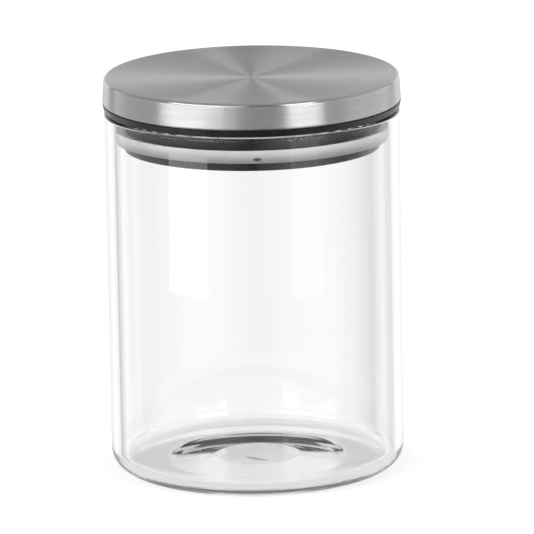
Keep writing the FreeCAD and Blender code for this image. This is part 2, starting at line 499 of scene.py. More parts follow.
class RibbingTree(GeometryTree):
    """Joins a hub and the ribs round it to the hollow of the core."""

    HUB_FLATS = 96
    SIZES = ("Thickness", "Depth", "Reach", "Web", "Sink", "Hub", "Hub Foot", "Crease")

    def __init__(self) -> None:
        """Builds the tree: one rib on each point of a circle, then a union with the hub and the core."""
        inputs = {"Count": "NodeSocketInt", **dict.fromkeys(self.SIZES, "NodeSocketFloat")}
        super().__init__("ribbed_hollow", inputs)
        w = self.wiring
        given = self.given
        start = w.times(given["Hub"], 0.5)
        length = w.sums("SUBTRACT", given["Reach"], start)
        tall = w.sums("ADD", given["Depth"], given["Sink"])
        size = w.vector(length, given["Thickness"], tall)
        rib = w.add("GeometryNodeMeshCube", {"Size": size}).outputs["Mesh"]
        middle = w.sums("MULTIPLY_ADD", length, 0.5, start)
        circle = w.add("GeometryNodeMeshCircle", {"Vertices": given["Count"], "Radius": middle}).outputs[0]
        index = w.add("GeometryNodeInputIndex").outputs[0]
        angle = w.times(w.sums("DIVIDE", index, given["Count"]), math.tau)
        facing = w.add("FunctionNodeEulerToRotation", {0: w.vector(z=angle)}).outputs[0]
        feeds = {"Points": circle, "Instance": rib, "Rotation": facing}
        set_out = w.add("GeometryNodeInstanceOnPoints", feeds).outputs[0]
        real = w.add("GeometryNodeRealizeInstances", {"Geometry": set_out}).outputs[0]
        below = w.times(w.sums("SUBTRACT", given["Depth"], given["Sink"]), 0.5)
        ribs = self.lifted(real, w.sums("SUBTRACT", given["Web"], below))
        hub_top = w.sums("ADD", given["Web"], given["Sink"])
        hub_tall = w.sums("SUBTRACT", hub_top, given["Hub Foot"])
        feeds = {"Vertices": self.HUB_FLATS, "Radius": given["Hub"], "Depth": hub_tall}
        post = w.add("GeometryNodeMeshCylinder", feeds).outputs["Mesh"]
        hub = self.lifted(post, w.sums("MULTIPLY_ADD", hub_tall, -0.5, hub_top))
        union = w.add("GeometryNodeMeshBoolean", operation="UNION", solver="MANIFOLD")
        for solid in (ribs, hub, given["Geometry"]):
            w.tree.links.new(solid, union.inputs["Mesh"])
        self.close(self.creased(union.outputs["Mesh"]))

    def lifted(self, geometry: Socket, height: Socket) -> Socket:
        """Geometry moved up by a height."""
        feeds = {"Geometry": geometry, "Translation": self.wiring.vector(z=height)}
        return self.wiring.add("GeometryNodeTransform", feeds).outputs[0]


class MarkingTree(GeometryTree):
    """Presses a leaf-shaped gate mark into a moulded ring."""

    ATTRIBUTE = "gate_mark"
    SIZES = ("Half Width", "Half Height", "Depth")
    EDGE = (-0.2, 0.35)
    ENDS = 1.3

    def __init__(self) -> None:
        """Builds the tree: a mask round the mark's place, kept as an attribute, and a push inward."""
        inputs = {"Place": "NodeSocketVector", **dict.fromkeys(self.SIZES, "NodeSocketFloat")}
        super().__init__("pressed_mark", inputs)
        w = self.wiring
        given = self.given
        spot = w.add("GeometryNodeInputPosition").outputs[0]
        away = w.add("ShaderNodeVectorMath", {0: spot, 1: given["Place"]}, operation="SUBTRACT").outputs[0]
        parts = w.parts(away)
        along = w.sums("DIVIDE", w.length(parts["X"], parts["Y"]), given["Half Width"])
        bulge = w.sums("SUBTRACT", 1.0, w.times(along, along), clamp=True)
        across = w.sums("DIVIDE", w.sums("ABSOLUTE", parts["Z"]), given["Half Height"])
        mask = w.ramp(w.sums("SUBTRACT", bulge, across), self.EDGE, 0.0, 1.0)
        inside = w.times(mask, w.sums("LESS_THAN", along, self.ENDS))
        feeds = {"Geometry": given["Geometry"], "Name": self.ATTRIBUTE, "Value": inside}
        marked = w.add("GeometryNodeStoreNamedAttribute", feeds, data_type="FLOAT", domain="POINT").outputs[0]
        normal = w.add("GeometryNodeInputNormal").outputs[0]
        inward = w.times(inside, w.times(given["Depth"], -1.0))
        push = w.add("ShaderNodeVectorMath", {0: normal, "Scale": inward}, operation="SCALE").outputs[0]
        self.close(w.add("GeometryNodeSetPosition", {"Geometry": marked, "Offset": push}).outputs[0])


class Effects:
    """Shader node groups that several finishes share."""

    NEAR_AXIS = 0.01 * MM
    CONTRAST = (0.3, 0.7)
    LINE_DETAIL = 3.0
    GRAIN_DETAIL = 2.0
    MOTTLE_DETAIL = 4.0

    def __init__(self) -> None:
        """Builds the groups once."""
        self.around = self.make_around()
        self.lines = self.make_lines()
        self.grain = self.make_grain()

    @staticmethod
    def start(name: str, inputs: Sequence[str], outputs: Sequence[str]) -> tuple[Wiring, Any, Node]:
        """Starts a group of plain values.

        Args:
            name: Name of the group.
            inputs: Names of its inputs.
            outputs: Names of its outputs.

        Returns:
            Its wiring, the sockets that its inputs give and the node that takes its outputs.
        """
        tree = bpy.data.node_groups.new(name, "ShaderNodeTree")
        for side, keys in (("INPUT", inputs), ("OUTPUT", outputs)):
            for key in keys:
                tree.interface.new_socket(name=key, in_out=side, socket_type="NodeSocketFloat")
        wiring = Wiring(tree)
        return wiring, wiring.add("NodeGroupInput").outputs, wiring.add("NodeGroupOutput")

    def make_around(self) -> bpy.types.NodeTree:
        """Place on a turned surface: radius, height and direction from the axis."""
        w, _, out = self.start("around_axis", (), ("Radius", "Height", "Cosine", "Sine"))
        place = w.place()
        radius = w.sums("MAXIMUM", w.length(place["X"], place["Y"]), self.NEAR_AXIS)
        w.fill(out, {
            "Radius": radius,
            "Height": place["Z"],
            "Cosine": w.sums("DIVIDE", place["X"], radius),
            "Sine": w.sums("DIVIDE", place["Y"], radius),
        })
        return w.tree

    def make_lines(self) -> bpy.types.NodeTree:
        """Fine lines that run round the axis, as spinning and brushing leave them."""
        w, given, out = self.start("turned_lines", ("Pitch", "Wander"), ("Lines",))
        around = w.group(self.around)
        across = w.vector(
            w.sums("DIVIDE", around["Radius"], given["Pitch"]),
            w.sums("DIVIDE", around["Height"], given["Pitch"]),
            w.times(around["Cosine"], given["Wander"]),
        )
        turned = w.times(around["Sine"], given["Wander"])
        feeds = {"Vector": across, "W": turned, "Scale": 1.0, "Detail": self.LINE_DETAIL}
        noise = w.add("ShaderNodeTexNoise", feeds, noise_dimensions="4D")
        w.fill(out, {"Lines": w.ramp(noise.outputs[0], self.CONTRAST, 0.0, 1.0)})
        return w.tree

    def make_grain(self) -> bpy.types.NodeTree:
        """Fine grain of a moulded surface and the slow mottle under it."""
        w, given, out = self.start("moulded_grain", ("Size", "Patch"), ("Grain", "Mottle"))
        place = w.add("ShaderNodeTexCoord").outputs["Object"]
        kinds = (("Size", "Grain", self.GRAIN_DETAIL), ("Patch", "Mottle", self.MOTTLE_DETAIL))
        for key, output, detail in kinds:
            scale = w.sums("DIVIDE", 1.0, given[key])
            noise = w.add("ShaderNodeTexNoise", {"Vector": place, "Detail": detail, "Scale": scale})
            w.fill(out, {output: w.ramp(noise.outputs[0], self.CONTRAST, 0.0, 1.0)})
        return w.tree


@dataclass(frozen=True, kw_only=True)
class Finish:
    """A procedural finish.

    Attributes:
        name: Name of its material.
        relief: Depth of its lines or grain.
    """

    name: str
    relief: float

    def build(self, effects: Effects) -> bpy.types.Material:
        """Builds the material.

        Args:
            effects: Shared node groups.

        Returns:
            The material.
        """
        material, w, bsdf = new_material(self.name)
        w.fill(bsdf, self.inputs(w, effects))
        return material

    def inputs(self, w: Wiring, effects: Effects) -> dict[str, Any]:
        """Makes what goes into the Principled node.

        Args:
            w: Wiring of the material.
            effects: Shared node groups.

        Returns:
            The inputs by name.
        """
        raise NotImplementedError


@dataclass(frozen=True, kw_only=True)
class ClearGlass(Finish):
    """Clear borosilicate glass with faint drawing lines along the wall.

    Attributes:
        tint: Colour that passes through each face.
        ior: Index of refraction.
        striae: Drawing lines, as waves for each radian of the way round.
        run: Waves for each metre along the wall.
        scar: Colour of the curved scar in the floor.
        scar_centre: Centre of its curve.
        scar_radius: Radius of its curve.
        scar_middle: Direction of its middle from that centre.
        scar_reach: Angle from its middle to its ends.
        scar_width: Half its width in the middle.
        scar_edge: Share of that width over which it fades.
        scar_heights: Heights between which the floor lies.
    """

    name: str = "drawn_glass"
    relief: float = 0.002 * MM
    tint: Colour = (0.998, 1.0, 0.999)
    ior: float = 1.474
    striae: float = 14.0
    run: float = 8.0
    scar: Colour = (0.12, 0.12, 0.12)
    scar_centre: Span = (13.4 * MM, 9.8 * MM)
    scar_radius: float = 22.8 * MM
    scar_middle: float = math.radians(232)
    scar_reach: float = math.radians(17)
    scar_width: float = 0.9 * MM
    scar_edge: float = 0.7
    scar_heights: Span = (3.2 * MM, 4.0 * MM)

    def inputs(self, w: Wiring, effects: Effects) -> dict[str, Any]:
        """Clear and smooth, with faint waves and the scar."""
        around = w.group(effects.around)
        way = w.vector(
            w.times(around["Cosine"], self.striae),
            w.times(around["Sine"], self.striae),
            w.times(around["Height"], self.run),
        )
        waver = w.add("ShaderNodeTexNoise", {"Vector": way, "Scale": 1.0, "Detail": 1.0}).outputs[0]
        return {
            "Normal": w.bump(waver, self.relief),
            "Base Color": w.blend(self.scarred(w), rgba(self.tint), rgba(self.scar)),
            "Roughness": 0.0,
            "IOR": self.ior,
            "Transmission Weight": 1.0,
        }

    def scarred(self, w: Wiring) -> Socket:
        """A factor that is 1 in the scar and runs out towards its ends."""
        place = w.place()
        x = w.sums("SUBTRACT", place["X"], self.scar_centre[0])
        y = w.sums("SUBTRACT", place["Y"], self.scar_centre[1])
        away = w.length(x, y)
        aside = w.times(x, math.cos(self.scar_middle))
        onward = w.sums("MULTIPLY_ADD", y, math.sin(self.scar_middle), aside)
        taper = w.ramp(w.sums("DIVIDE", onward, away), (math.cos(self.scar_reach), 1.0), 0.0, 1.0)
        off = w.sums("ABSOLUTE", w.sums("SUBTRACT", away, self.scar_radius))
        depth = w.sums("SUBTRACT", taper, w.sums("DIVIDE", off, self.scar_width))
        low, high = self.scar_heights
        level = w.sums("COMPARE", place["Z"], (low + high) / 2, (high - low) / 2)
        return w.times(w.ramp(depth, (0.0, self.scar_edge), 0.0, 1.0), level)


@dataclass(frozen=True, kw_only=True)
class SpunSteel(Finish):
    """Stainless steel, spun in fine rings on top and brushed round the skirt.

    Attributes:
        skirt_top: Height below which the broader brush streaks show.
        corner_start: Radius beyond which the corner above the skirt is polished.
        dark: Colour in the bottom of the lines.
        light: Colour on their crests.
        fine: Distance between the fine lines.
        fine_wander: How far they wander.
        coarse: Distance between the brush streaks of the skirt.
        coarse_wander: How far they wander.
        streaks: Share of the streaks on the top and on the skirt.
        streak_fade: Height on either side of the skirt's top over which that share changes.
        smooth: Roughness of the crests.
        rough: Roughness of the lines.
        polished: Roughness of the corner.
        corner_fade: Width and height over which the polish begins.
        brushing: Strength of the brushing.
        brush_turn: Turn of the brushing, in turns.
    """

    name: str = "spun_steel"
    relief: float = 0.0015 * MM
    skirt_top: float
    corner_start: float
    dark: Colour = (0.53, 0.53, 0.535)
    light: Colour = (0.62, 0.62, 0.63)
    fine: float = 0.1 * MM
    fine_wander: float = 5.0
    coarse: float = 0.45 * MM
    coarse_wander: float = 3.0
    streaks: Span = (0.08, 0.5)
    streak_fade: float = 0.5 * MM
    smooth: float = 0.31
    rough: float = 0.37
    polished: float = 0.17
    corner_fade: Span = (0.3 * MM, 0.2 * MM)
    brushing: float = 1.0
    brush_turn: float = 0.25

    def inputs(self, w: Wiring, effects: Effects) -> dict[str, Any]:
        """Brushed metal with a polished corner."""
        place = w.group(effects.around)
        height = place["Height"]
        top = self.skirt_top
        lines = w.group(effects.lines, Pitch=self.fine, Wander=self.fine_wander)[0]
        broad = w.group(effects.lines, Pitch=self.coarse, Wander=self.coarse_wander)[0]
        share = w.ramp(height, (top - self.streak_fade, top + self.streak_fade), *reversed(self.streaks))
        both = w.sums("ADD", lines, w.times(w.sums("SUBTRACT", broad, lines), share))
        wide, tall = self.corner_fade
        outside = w.ramp(place["Radius"], (self.corner_start, self.corner_start + wide), 0.0, 1.0)
        corner = w.times(outside, w.ramp(height, (top, top + tall), 0.0, 1.0))
        return {
            "Base Color": w.blend(both, rgba(self.dark), rgba(self.light)),
            "Roughness": w.mix(corner, w.mix(both, self.rough, self.smooth), self.polished),
            "Normal": w.bump(both, self.relief),
            "Tangent": w.add("ShaderNodeTangent", direction_type="RADIAL", axis="Z").outputs[0],
            "Metallic": 1.0,
            "Anisotropic": self.brushing,
            "Anisotropic Rotation": self.brush_turn,
        }


@dataclass(frozen=True, kw_only=True)
class Moulded(Finish):
    """A finish with a fine grain and a slow mottle.

    Attributes:
        grain: Size of the grain.
        patch: Size of the mottle.
        smooth: Roughness where the mottle is 0.
        rough: Roughness where it is 1.
    """

    grain: float
    patch: float
    smooth: float
    rough: float

    def inputs(self, w: Wiring, effects: Effects) -> dict[str, Any]:
        """Roughness from the mottle, relief from the grain and the finish's own colour."""
        found = w.group(effects.grain, Size=self.grain, Patch=self.patch)
        return {
            "Base Color": self.colour(w, found["Grain"], found["Mottle"]),
            "Roughness": w.mix(found["Mottle"], self.smooth, self.rough),
            "Normal": w.bump(found["Grain"], self.relief),
        }

    def colour(self, w: Wiring, grain: Socket, mottle: Socket) -> Socket:
        """Makes the colour.

        Args:
            w: Wiring of the material.
            grain: The grain, from 0 to 1.
            mottle: The mottle, from 0 to 1.

        Returns:
            The colour.
        """
        raise NotImplementedError


@dataclass(frozen=True, kw_only=True)
class SatinPlastic(Moulded):
    """Black moulded plastic with a fine satin grain.

    Attributes:
        deep: Colour where the mottle is 0.
        worn: Colour where it is 1.
        gloss: Strength of its reflections.
    """

    name: str = "satin_plastic"
    relief: float = 0.006 * MM
    grain: float = 0.25 * MM
    patch: float = 6 * MM
    smooth: float = 0.24
    rough: float = 0.31
    deep: Colour = (0.003, 0.003, 0.0032)
    worn: Colour = (0.007, 0.007, 0.0074)
    gloss: float = 0.5

    def inputs(self, w: Wiring, effects: Effects) -> dict[str, Any]:
        """A moulded surface with its gloss."""
        return {**super().inputs(w, effects), "Specular IOR Level": self.gloss}

    def colour(self, w: Wiring, grain: Socket, mottle: Socket) -> Socket:
        """Black that turns paler with the mottle."""
        return w.blend(mottle, rgba(self.deep), rgba(self.worn))


@dataclass(frozen=True, kw_only=True)
class SoftSilicone(Moulded):
    """Translucent silicone with a satin skin, painted shade that darkens it towards the foot, and a gate
    mark.

    Attributes:
        mark: Name of the attribute that is 1 in the gate mark.
        z_foot: Height of the foot, where the painted shade is darkest.
        z_top: Height of the lip, where the painted shade ends.
        pale: Colour of the skin.
        cloudy: Colour of its cloudy patches.
        painted_foot_shade: Painted shade, the colour at the foot.
        stain: Colour in the gate mark.
        scatter: Share of the light that goes in.
        scatter_radii: How far each colour goes, as shares of the depth.
        scatter_depth: Depth that it reaches.
    """

    name: str = "soft_silicone"
    relief: float = 0.006 * MM
    grain: float = 0.3 * MM
    patch: float = 8 * MM
    smooth: float = 0.32
    rough: float = 0.42
    mark: str
    z_foot: float
    z_top: float
    pale: Colour = (0.81, 0.81, 0.815)
    cloudy: Colour = (0.75, 0.75, 0.755)
    painted_foot_shade: Colour = (0.325, 0.325, 0.33)
    stain: Colour = (0.05, 0.05, 0.052)
    scatter: float = 0.4
    scatter_radii: Colour = (1.0, 1.0, 1.0)
    scatter_depth: float = 1.2 * MM

    def inputs(self, w: Wiring, effects: Effects) -> dict[str, Any]:
        """A moulded surface that lets light in."""
        return {
            **super().inputs(w, effects),
            "Subsurface Weight": self.scatter,
            "Subsurface Radius": self.scatter_radii,
            "Subsurface Scale": self.scatter_depth,
        }

    def colour(self, w: Wiring, grain: Socket, mottle: Socket) -> Socket:
        """Cloudy skin with painted shade towards the foot, and darker in the gate mark."""
        full = w.blend(mottle, rgba(self.pale), rgba(self.cloudy))
        # painted shade: the skin is blended towards a dark grey from the lip down to the foot
        low = w.ramp(w.place()["Z"], (self.z_foot, self.z_top), 1.0, 0.0)
        mark = w.add("ShaderNodeAttribute", attribute_name=self.mark).outputs["Fac"]
        return w.blend(mark, w.blend(low, full, rgba(self.painted_foot_shade)), rgba(self.stain))


@dataclass(frozen=True, kw_only=True)
class FoamTape(Moulded):
    """Closed-cell foam of the adhesive pad.

    Attributes:
        cell: Colour inside the cells.
        skin: Colour between them.
    """

    name: str = "foam_tape"
    relief: float = 0.05 * MM
    grain: float = 0.4 * MM
    patch: float = 5 * MM
    smooth: float = 0.75
    rough: float = 0.9
    cell: Colour = (0.60, 0.58, 0.52)
    skin: Colour = (0.76, 0.74, 0.67)

    def colour(self, w: Wiring, grain: Socket, mottle: Socket) -> Socket:
        """Paler between the cells than in them."""
        return w.blend(grain, rgba(self.cell), rgba(self.skin))


@dataclass
class Workshop:
    """What every sub-assembly is made with.

    Attributes:
        turning: Tree that turns the pieces.
        ribbing: Tree that puts ribs in the core.
        marking: Tree that presses the gate mark into the seal.
        effects: Shared node groups of the finishes.
        made: Pieces so far.
    """

    turning: TurningTree = field(default_factory=TurningTree)
    ribbing: RibbingTree = field(default_factory=RibbingTree)
    marking: MarkingTree = field(default_factory=MarkingTree)
    effects: Effects = field(default_factory=Effects)
    made: list[bpy.types.Object] = field(default_factory=list)

    def place(self, piece: bpy.types.Object, node: str, body: Body, slot: Slot) -> None:
        """Puts a piece on its body, in place of a CAD node.

        Args:
            piece: The finished piece.
            node: CAD node that it stands for.
            body: Body that carries it.
            slot: Material slot; not used.
        """
        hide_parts(node)
        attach(piece, body.value)
        self.made.append(piece)
        log.info("%s rides on %s, %d faces", piece.name, body.value, len(piece.data.polygons))


@dataclass
class Jar:
    """The glass jar.

    Attributes:
        radius: Outside of the wall.
        height: Rim above the table.
        wall: Thickness of the wall.
        rim_land: Level crest of the rim.
        heel: Radius between wall and foot.
        floor: Height of the inner floor beside its corner.
        floor_corner: Radius between floor and wall.
        punt: Rise of the underside in its middle.
        punt_top: Radius of its level middle.
        punt_foot: Radius where its slope meets the foot.
        punt_top_round: Radius that rounds the upper end of the slope.
        punt_foot_round: Radius that rounds the lower end of the slope.
        swell: Rise of the inner floor in its middle.
        swell_top: Radius of its level middle.
        swell_foot: Radius where its slope ends.
        swell_round: Radius that rounds both ends of that slope.
        segments: Flats round the axis.
    """

    radius: float
    height: float
    wall: float = 3.6 * MM
    rim_land: float = 1.8 * MM
    heel: float = 7.2 * MM
    floor: float = 3.43 * MM
    floor_corner: float = 4.2 * MM
    punt: float = 2.19 * MM
    punt_top: float = 14.3 * MM
    punt_foot: float = 30.0 * MM
    punt_top_round: float = 6.5 * MM
    punt_foot_round: float = 17.1 * MM
    swell: float = 0.27 * MM
    swell_top: float = 7.7 * MM
    swell_foot: float = 37.5 * MM
    swell_round: float = 42.4 * MM
    segments: int = 384

    @classmethod
    def from_frame(cls) -> "Jar":
        """A jar of the CAD node's size."""
        _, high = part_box("glass_jar")
        return cls(radius=high.x, height=high.z)

    @property
    def bore(self) -> float:
        """Radius of the inside."""
        return self.radius - self.wall

    def outline(self) -> Outline:
        """Half section, from the middle of the underside round to the middle of the floor."""
        rim_round = (self.wall - self.rim_land) / 2
        middle = self.floor + self.swell
        return Outline((
            Corner(0, self.punt),
            Corner(self.punt_top, self.punt, self.punt_top_round),
            Corner(self.punt_foot, 0, self.punt_foot_round),
            Corner(self.radius, 0, self.heel),
            Corner(self.radius, self.height, rim_round),
            Corner(self.bore, self.height, rim_round),
            Corner(self.bore, self.floor, self.floor_corner),
            Corner(self.swell_foot, self.floor, self.swell_round),
            Corner(self.swell_top, middle, self.swell_round),
            Corner(0, middle),
        ))

    def build(self, shop: Workshop) -> None:
        """Builds and dresses the jar.

        Args:
            shop: Shared trees and groups.
        """
        glass = ClearGlass().build(shop.effects)
        jar = shop.turning.piece("jar_glass", self.outline(), glass, self.segments)
        shop.place(jar, "glass_jar", Body.JAR, Slot.GLASS)


@dataclass
class Cap:
    """The steel cap.

    Attributes:
        foot_radius: Outside of the skirt at its foot.
        z_foot: Foot of the skirt.
        z_top: Crest round the dish.
        lean: Radius lost from the foot of the skirt to its top.
        sheet: Thickness of the steel.
        corner: Radius between skirt and top.
        crest: Level crest round the dish.
        band: Width of the slope inside the crest.
        band_drop: Fall across that slope.
        sag: Further fall to the middle of the dish.
        hem: Width of the rolled-in lower edge.
        hem_round: Radius of the hem.
        segments: Flats round the axis.
    """

    foot_radius: float
    z_foot: float
    z_top: float
    lean: float = 0.6 * MM
    sheet: float = 0.6 * MM
    corner: float = 1.3 * MM
    crest: float = 0.6 * MM
    band: float = 7.5 * MM
    band_drop: float = 0.65 * MM
    sag: float = 0.45 * MM
    hem: float = 1.8 * MM
    hem_round: float = 0.9 * MM
    segments: int = 256

    @classmethod
    def from_frame(cls) -> "Cap":
        """A cap of the CAD node's size."""
        low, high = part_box("steel_cap")
        return cls(foot_radius=high.x, z_foot=low.z, z_top=high.z)

    @property
    def top_radius(self) -> float:
        """Outside of the skirt at its top, before the corner is rounded."""
        return self.foot_radius - self.lean

    @property
    def dish(self) -> float:
        """Radius of the dish floor."""
        return self.top_radius - self.corner - self.crest - self.band

    def skirt(self, z: float) -> float:
        """Outside of the leaning skirt at a height."""
        return self.foot_radius - self.lean * (z - self.z_foot) / (self.z_top - self.z_foot)

    def dish_height(self, r: float, depth: float) -> float:
        """Height of the dish floor.

        Args:
            r: Distance from the axis.
            depth: Distance below the upper face.

        Returns:
            The height there.
        """
        sphere = (self.dish ** 2 + self.sag ** 2) / (2 * self.sag)
        middle = self.z_top - self.band_drop - self.sag
        return middle + sphere - math.sqrt((sphere + depth) ** 2 - r ** 2)

    def outline(self) -> Outline:
        """Half section, from the middle of the top down to the hem and back along the inside."""
        crest_inner = self.dish + self.band
        z_inside = self.z_top - self.sheet
        z_hem = self.z_foot + self.sheet
        hem_inner = self.foot_radius - self.hem
        return Outline((
            Corner(0, self.dish_height(0, 0), bow=-half_bow(self.sag)),
            Corner(self.dish, self.dish_height(self.dish, 0)),
            Corner(crest_inner, self.z_top),
            Corner(self.top_radius, self.z_top, self.corner),
            Corner(self.foot_radius, self.z_foot, self.hem_round),
            Corner(hem_inner, self.z_foot),
            Corner(hem_inner, z_hem),
            Corner(self.skirt(z_hem) - self.sheet, z_hem),
            Corner(self.top_radius - self.sheet, z_inside, self.corner - self.sheet),
            Corner(crest_inner, z_inside),
            Corner(self.dish, self.dish_height(self.dish, self.sheet), bow=half_bow(self.sag)),
            Corner(0, self.dish_height(0, self.sheet)),
        ))

    def build(self, shop: Workshop) -> None:
        """Builds and dresses the cap.

        Args:
            shop: Shared trees and groups.
        """
        corner_start = self.top_radius - self.corner
        steel = SpunSteel(skirt_top=self.z_top - self.corner, corner_start=corner_start).build(shop.effects)
        cap = shop.turning.piece("lid_cap", self.outline(), steel, self.segments)
        shop.place(cap, "steel_cap", Body.LID, Slot.STEEL)


@dataclass
class Core:
    """The moulded core of the lid, with the disc that closes it and the adhesive pad.

    Attributes:
        cap: Cap that covers it.
        flange: Radius of the flange.
        plug: Radius of the plug.
        z_foot: Foot of the plug.
        z_seat: Underside of the flange.
        z_lining: Top of the lining inside the skirt.
        flange_thick: Thickness of the flange.
        taper: Radius that the flange loses towards its underside.
        edge: Radius of its lower edge, and of the edges of the plug.
        groove: Depth of the groove for the seal.
        groove_foot: Plug wall below the groove.
        groove_tall: Height of the groove.
        wall: Thickness of the walls.
        channel: Radius in the bottom of the channel behind the lining.
        web: Thickness of the web under the pad.
        rib_count: Ribs under the web.
        rib_thick: Their thickness.
        rib_deep: Their depth.
        hub: Radius of the hub that they meet.
        disc_thick: Thickness of the disc.
        ledge: Width of the step that the disc stops against.
        recess: Depth of the recess under the disc.
        recess_margin: Rim of the disc outside the recess.
        snap_tall: Height of the snap bead round the disc.
        snap_proud: Its rise.
        pocket_wall: Wall outside the pad's pocket.
        pad_thick: Thickness of the pad at its middle.
        fit: Gap between pieces that are bonded, rolled or snapped together.
        segments: Flats of the core round the axis.
        inner_segments: Flats of the disc and the pad.
    """

    cap: Cap
    flange: float
    plug: float
    z_foot: float
    z_seat: float
    z_lining: float
    flange_thick: float = 2.2 * MM
    taper: float = 0.4 * MM
    edge: float = 0.5 * MM
    groove: float = 2.2 * MM
    groove_foot: float = 3.0 * MM
    groove_tall: float = 3.8 * MM
    wall: float = 2.0 * MM
    channel: float = 0.8 * MM
    web: float = 2.2 * MM
    rib_count: int = 8
    rib_thick: float = 1.4 * MM
    rib_deep: float = 9.0 * MM
    hub: float = 6.0 * MM
    disc_thick: float = 1.8 * MM
    ledge: float = 0.8 * MM
    recess: float = 0.6 * MM
    recess_margin: float = 4.0 * MM
    snap_tall: float = 0.8 * MM
    snap_proud: float = 0.3 * MM
    pocket_wall: float = 2.6 * MM
    pad_thick: float = 0.8 * MM
    fit: float = 0.05 * MM
    segments: int = 256
    inner_segments: int = 192

    @classmethod
    def from_frame(cls, jar: Jar, cap: Cap, gap: float = 2.9 * MM, seat: float = 0.5 * MM) -> "Core":
        """A core of the CAD node's size.

        Args:
            jar: Jar that it closes.
            cap: Cap that covers it.
            gap: Bore of the jar to the plug.
            seat: Flange above the rim.

        Returns:
            The core.
        """
        low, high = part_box("lid_core")
        return cls(cap, high.x, plug=jar.bore - gap, z_foot=low.z, z_seat=jar.height + seat, z_lining=high.z)

    @property
    def groove_radius(self) -> float:
        """Bottom of the groove."""
        return self.plug - self.groove

    @property
    def bore(self) -> float:
        """Inside of the plug wall."""
        return self.groove_radius - self.wall

    @property
    def pocket(self) -> float:
        """Radius of the pad's pocket."""
        return self.groove_radius - self.pocket_wall

    @property
    def inset(self) -> float:
        """Outer face of the cap to the core inside it."""
        return self.cap.sheet + self.fit

    @property
    def z_pad(self) -> float:
        """Underside of the pad."""
        return self.cap.dish_height(0, self.inset) - self.pad_thick

    @property
    def z_web(self) -> float:
        """Underside of the web."""
        return self.z_pad - self.fit - self.web

    @property
    def z_ledge(self) -> float:
        """Step that the disc stops against."""
        return self.z_foot + self.disc_thick + self.fit

    @property
    def z_snap(self) -> float:
        """Middle of the snap bead."""
        return self.z_foot + self.disc_thick / 2

    def core_outline(self) -> Outline:
        """Half section, from the middle of the web down inside, up outside and back to the pocket."""
        step = self.bore + self.ledge
        z_groove = self.z_foot + self.groove_foot
        z_flange = self.z_seat + self.flange_thick
        slot = self.cap.foot_radius - self.cap.hem - self.fit
        z_shoulder = self.cap.z_foot + self.inset
        lining = self.cap.top_radius - self.inset
        z_ring = self.cap.dish_height(self.pocket, self.inset)
        z_pocket = self.z_pad - self.fit
        return Outline((
            Corner(0, self.z_web),
            Corner(self.bore, self.z_web),
            Corner(self.bore, self.z_ledge),
            Corner(step, self.z_ledge),
            Corner(step, self.z_snap + self.snap_tall / 2, bow=self.snap_proud),
            Corner(step, self.z_snap - self.snap_tall / 2),
            Corner(step, self.z_foot),
            Corner(self.plug, self.z_foot, self.edge),
            Corner(self.plug, z_groove),
            Corner(self.groove_radius, z_groove),
            Corner(self.groove_radius, z_groove + self.groove_tall),
            Corner(self.plug, z_groove + self.groove_tall),
            Corner(self.plug, self.z_seat, self.edge),
            Corner(self.flange - self.taper, self.z_seat, self.edge),
            Corner(self.flange, z_flange),
            Corner(slot, z_flange),
            Corner(slot, z_shoulder),
            Corner(self.cap.skirt(z_shoulder) - self.inset, z_shoulder),
            Corner(lining, self.z_lining, self.cap.corner),
            Corner(lining - self.wall, self.z_lining),
            Corner(lining - self.wall, z_shoulder, self.channel),
            Corner(self.groove_radius, z_shoulder, self.channel),
            Corner(self.groove_radius, z_ring),
            Corner(self.pocket, z_ring),
            Corner(self.pocket, z_pocket),
            Corner(0, z_pocket),
        ))

    def disc_outline(self) -> Outline:
        """Half section of the disc, from the middle of its recess round to the middle of its top."""
        edge = self.bore + self.ledge - self.fit
        recess_edge = edge - self.recess_margin
        snap = self.snap_tall / 2 - self.fit
        z_top = self.z_foot + self.disc_thick
        return Outline((
            Corner(0, self.z_foot + self.recess),
            Corner(recess_edge, self.z_foot + self.recess),
            Corner(recess_edge + self.recess, self.z_foot),
            Corner(edge, self.z_foot),
            Corner(edge, self.z_snap - snap, bow=-self.snap_proud),
            Corner(edge, self.z_snap + snap),
            Corner(edge, z_top),
            Corner(0, z_top),
        ))

    def pad_outline(self) -> Outline:
        """Half section of the pad, from the middle of its underside to the middle of its top."""
        edge = self.pocket - self.fit
        z_edge = self.cap.dish_height(edge, self.inset)
        z_middle = self.cap.dish_height(0, self.inset)
        return Outline((
            Corner(0, self.z_pad),
            Corner(edge, self.z_pad),
            Corner(edge, z_edge, bow=half_bow(z_edge - z_middle)),
            Corner(0, z_middle),
        ))

    def build(self, shop: Workshop) -> None:
        """Builds and dresses the core, the disc and the pad.

        Args:
            shop: Shared trees and groups.
        """
        plastic = SatinPlastic().build(shop.effects)
        foam = FoamTape().build(shop.effects)
        core = shop.turning.piece("lid_plug", self.core_outline(), plastic, self.segments)
        shop.ribbing.shape(core, {
            "Count": self.rib_count,
            "Thickness": self.rib_thick,
            "Depth": self.rib_deep,
            "Reach": self.bore + self.wall / 2,
            "Web": self.z_web,
            "Sink": self.web / 2,
            "Hub": self.hub,
            "Hub Foot": self.z_ledge,
            "Crease": TurningTree.CREASE,
            "Material": plastic,
        })
        shop.place(core, "lid_core", Body.LID, Slot.MOULDING)
        disc = shop.turning.piece("plug_disc", self.disc_outline(), plastic, self.inner_segments)
        shop.place(disc, "plug_base", Body.LID, Slot.MOULDING)
        pad = shop.turning.piece("cap_pad", self.pad_outline(), foam, self.inner_segments)
        shop.place(pad, "bond_pad", Body.LID, Slot.PAD)


